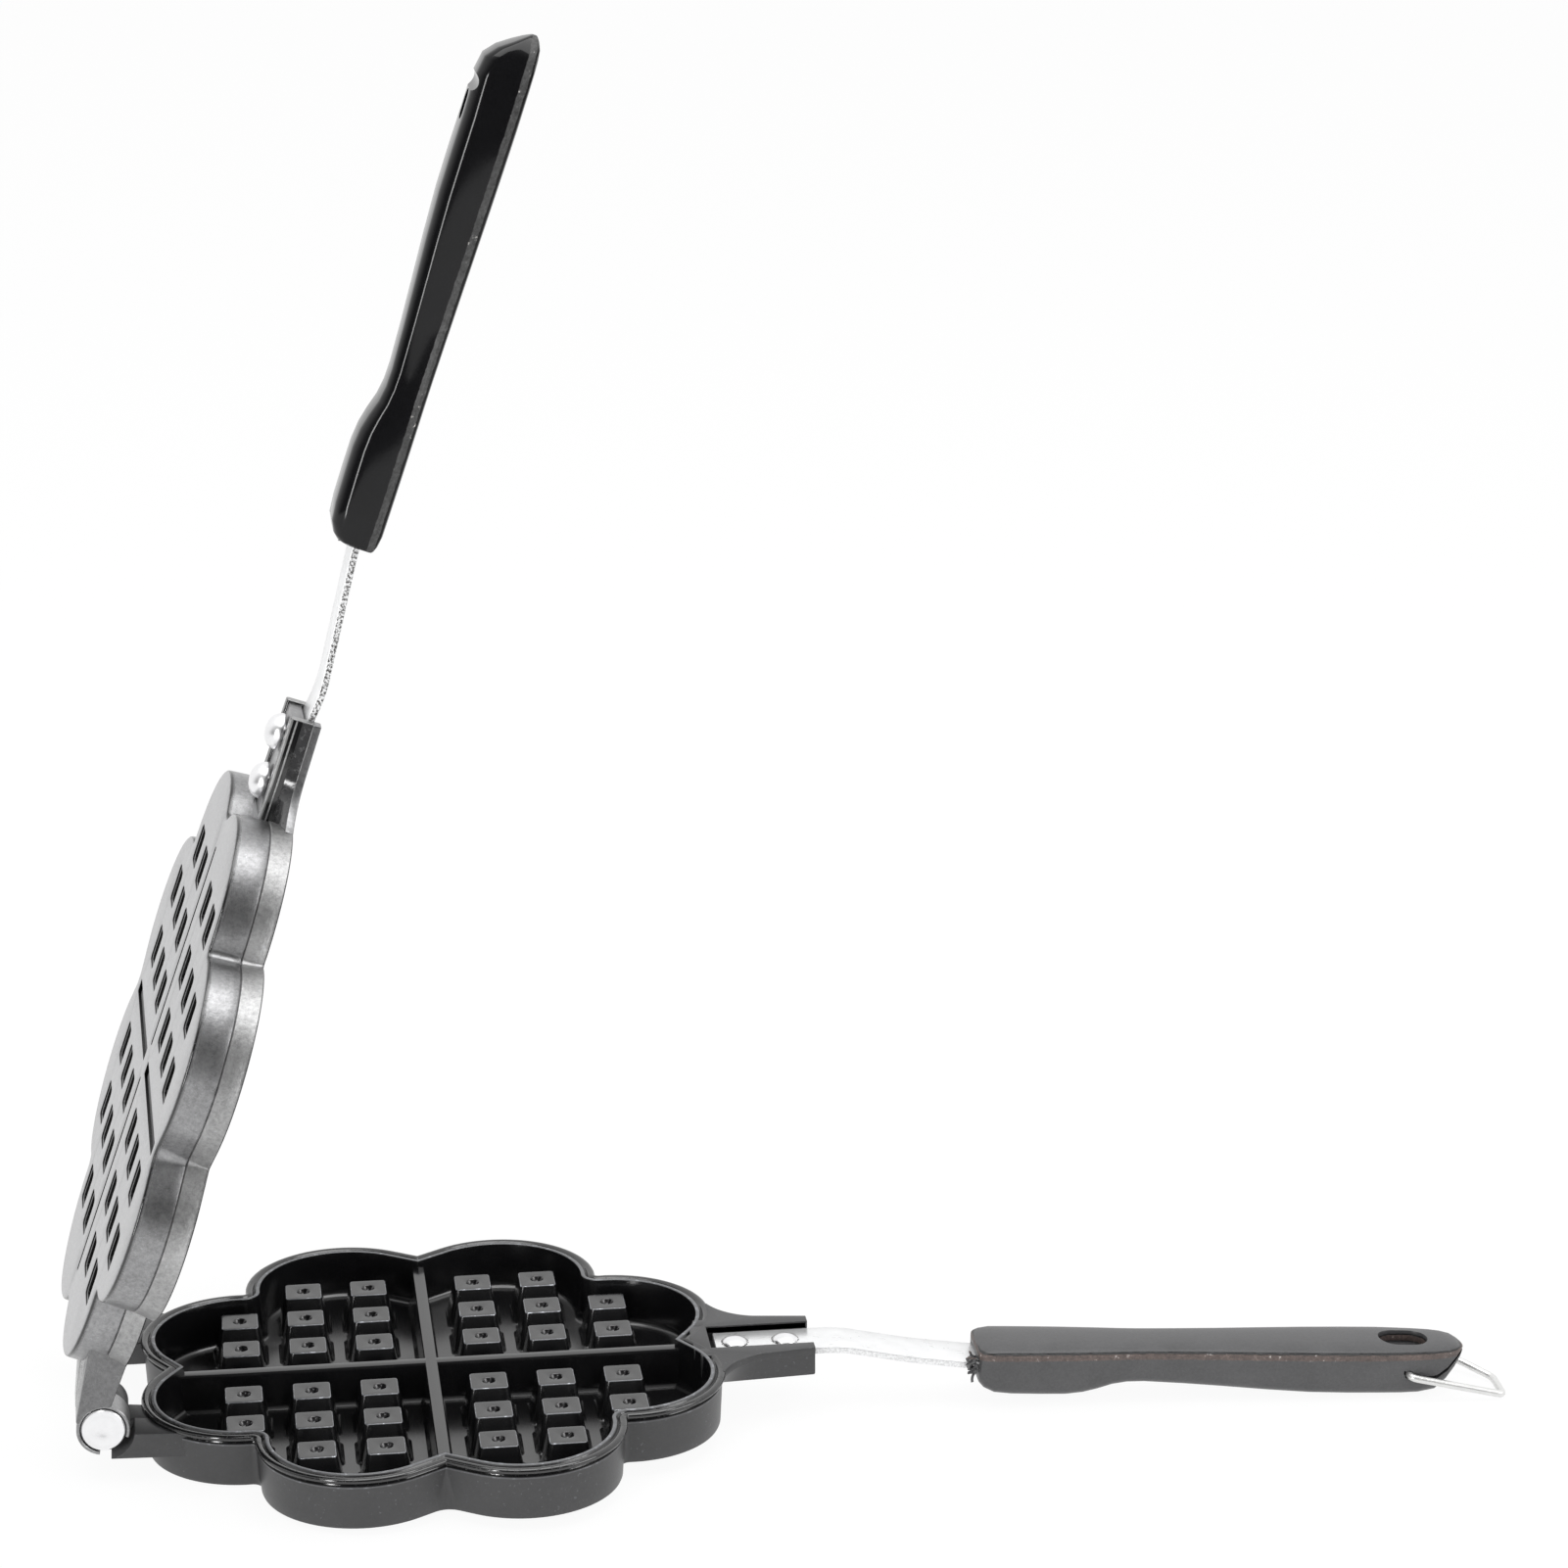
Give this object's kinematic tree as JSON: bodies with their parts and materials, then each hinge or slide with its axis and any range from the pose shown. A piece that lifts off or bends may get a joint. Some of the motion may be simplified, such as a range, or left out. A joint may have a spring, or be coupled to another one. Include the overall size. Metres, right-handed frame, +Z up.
{
  "type": "stovetop_waffle_iron",
  "caption": "Hand-held stovetop waffle iron: two hinged cast heart-flower pans with studs and cross ribs, long riveted strap handles with black grips, and a wire latch, shown open.",
  "frame": {"origin": "middle of the lower pan's underside", "axes": "X along the lower handle with the hinge at -X, Y across the pan away from the viewer, Z up"},
  "size_m": [0.4158, 0.159, 0.403],
  "materials": {
    "coated_aluminium": "glossy black non-stick inside and over the rim, satin dark grey outside",
    "cast_aluminium": "satin grey coating over a cast surface",
    "bright_aluminium": "bright, lightly turned",
    "galvanised_steel": "plated, with sheared mottled edges",
    "steel_wire": "plated bright wire",
    "phenolic_satin": "satin moulded phenolic",
    "phenolic_gloss": "glossy moulded phenolic"
  },
  "bodies": {
    "base": {"lower_pan": "coated_aluminium", "hinge_pin_front": "bright_aluminium", "hinge_pin_rear": "bright_aluminium", "lower_strap": "galvanised_steel", "lower_rivet_inner": "bright_aluminium", "lower_rivet_outer": "bright_aluminium", "lower_handle": "phenolic_satin"},
    "lid": {"upper_pan": "cast_aluminium", "upper_strap": "galvanised_steel", "upper_rivet_inner": "bright_aluminium", "upper_rivet_outer": "bright_aluminium", "upper_handle": "phenolic_gloss"},
    "bail": {"latch_bail": "steel_wire"}
  },
  "joints": [
    {"name": "lid_hinge", "type": "hinge", "parent": "base", "child": "lid", "pos_m": [-0.0925, 0, 0.01575], "axis": [0.0073, -0.9998, 0.0183], "range_deg": [-70.5, 100]},
    {"name": "bail_pivot", "type": "hinge", "parent": "base", "child": "bail", "pos_m": [0.28353, 0, -0.0051], "axis": [0, -1, 0], "range_deg": [-95, 55]}
  ]
}
